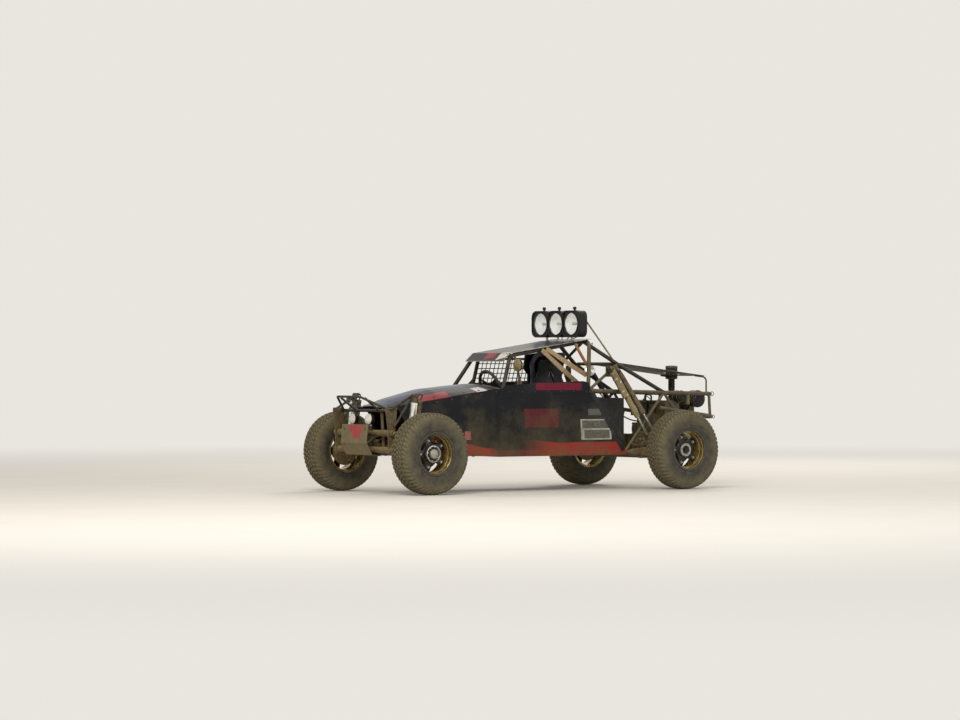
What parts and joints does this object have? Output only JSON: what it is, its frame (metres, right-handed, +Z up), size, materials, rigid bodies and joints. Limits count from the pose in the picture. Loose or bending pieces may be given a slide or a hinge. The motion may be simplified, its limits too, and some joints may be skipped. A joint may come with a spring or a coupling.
{
  "type": "desert race dune buggy",
  "caption": "Single-seat off-road buggy: open tube cage, beam front suspension, trailing-arm rear, rear engine, roof lamp bar, steering and free-turning wheels.",
  "frame": {"origin": "on the ground under the middle of the car's length and width", "axes": "+X forward, +Y to the car's left, +Z up"},
  "size_m": [4.054, 1.82, 1.7423],
  "materials": {
    "frame_steel": "dusty tan powder-coated steel tube",
    "beam_steel": "dusty dark steel",
    "forged_steel": "forged steel, dusty",
    "panel_black": "black painted aluminium sheet with red stripe and dust",
    "roof_black": "black painted sheet",
    "deck_dark": "dark thin sheet",
    "skid_alloy": "scuffed aluminium plate",
    "seat_blue": "dark blue-grey cover",
    "net_black": "black webbing",
    "lamp_black": "black moulded housing",
    "lamp_glass": "clear lens over a bright reflector",
    "shock_chrome": "plated shock body",
    "shock_tan": "dusty shock body",
    "engine_cast": "cast alloy, oily and dusty",
    "tank_black": "black moulded tank",
    "filter_dark": "pleated air filter",
    "tyre": "dusty rubber",
    "wheel_black": "black wheel with bare alloy lip",
    "wheel_grip": "black grip",
    "mirror_face": "round mirror"
  },
  "bodies": {
    "root": {"main_hoop": "frame_steel", "side_frame_left": "frame_steel", "side_frame_right": "frame_steel", "rear_rails": "frame_steel", "roof_rails": "frame_steel", "cage_tubes": "frame_steel", "rear_frame": "frame_steel", "front_frame": "frame_steel", "tow_tabs": "frame_steel", "front_beam": "beam_steel", "front_arms_left": "forged_steel", "front_arms_right": "forged_steel", "front_shock_left": "shock_chrome", "front_shock_right": "shock_chrome", "rear_shock_left": "shock_tan", "rear_shock_right": "shock_tan", "second_shock_left": "shock_tan", "second_shock_right": "shock_tan", "deck_stays": "frame_steel", "rear_arm_left": "beam_steel", "rear_arm_right": "beam_steel", "suspension_brackets": "beam_steel", "rack_housing": "forged_steel", "side_panel_left": "panel_black", "side_panel_right": "panel_black", "hood": "panel_black", "roof_panel": "roof_black", "floor_pan": "skid_alloy", "skid_plate": "skid_alloy", "dash_panel": "panel_black", "firewall": "panel_black", "seat": "seat_blue", "window_net": "net_black", "lamp_bar": "lamp_black", "lamps": "lamp_glass", "lamp_struts": "frame_steel", "gearbox": "engine_cast", "half_shafts": "forged_steel", "engine": "engine_cast", "air_cleaner": "filter_dark", "fuel_cell": "tank_black", "tail_deck": "deck_dark", "mirror": "mirror_face"},
    "knuckle_left": {"knuckle_left": "forged_steel"},
    "knuckle_right": {"knuckle_right": "forged_steel"},
    "rack": {"rack_rod": "forged_steel"},
    "steering_wheel": {"steering_wheel": "wheel_grip"},
    "front_wheel_left": {"wheel_front_left": "wheel_black", "tyre_front_left": "tyre"},
    "front_wheel_right": {"wheel_front_right": "wheel_black", "tyre_front_right": "tyre"},
    "rear_wheel_left": {"wheel_rear_left": "wheel_black", "tyre_rear_left": "tyre"},
    "rear_wheel_right": {"wheel_rear_right": "wheel_black", "tyre_rear_right": "tyre"}
  },
  "joints": [
    {"name": "steer_left", "type": "hinge", "parent": "root", "child": "knuckle_left", "pos_m": [1.608, 0.6, 0.376], "axis": [0, 0, 1], "range_deg": [-27, 27]},
    {"name": "steer_right", "type": "hinge", "parent": "root", "child": "knuckle_right", "pos_m": [1.608, -0.6, 0.376], "axis": [0, 0, 1], "range_deg": [-27, 27]},
    {"name": "rack_slide", "type": "slide", "parent": "root", "child": "rack", "axis": [0, 1, 0], "range_m": [-0.0615, 0.0615]},
    {"name": "steering_wheel_turn", "type": "hinge", "parent": "root", "child": "steering_wheel", "pos_m": [0.403, 0, 0.985], "axis": [-0.9301, 0, 0.3672], "range_deg": [-260, 260]},
    {"name": "front_wheel_left_turn", "type": "hinge", "parent": "knuckle_left", "child": "front_wheel_left", "pos_m": [1.608, 0.74, 0.376], "axis": [0, 1, 0], "continuous": true},
    {"name": "front_wheel_right_turn", "type": "hinge", "parent": "knuckle_right", "child": "front_wheel_right", "pos_m": [1.608, -0.74, 0.376], "axis": [0, 1, 0], "continuous": true},
    {"name": "rear_wheel_left_turn", "type": "hinge", "parent": "root", "child": "rear_wheel_left", "pos_m": [-1.292, 0.79, 0.376], "axis": [0, 1, 0], "continuous": true},
    {"name": "rear_wheel_right_turn", "type": "hinge", "parent": "root", "child": "rear_wheel_right", "pos_m": [-1.292, -0.79, 0.376], "axis": [0, 1, 0], "continuous": true}
  ],
  "couplings": [
    {"joint": "steer_right", "follows": "steer_left", "ratio": 1},
    {"joint": "rack_slide", "follows": "steer_left", "m_per_rad": 0.13},
    {"joint": "steering_wheel_turn", "follows": "steer_left", "ratio": 9.6}
  ]
}
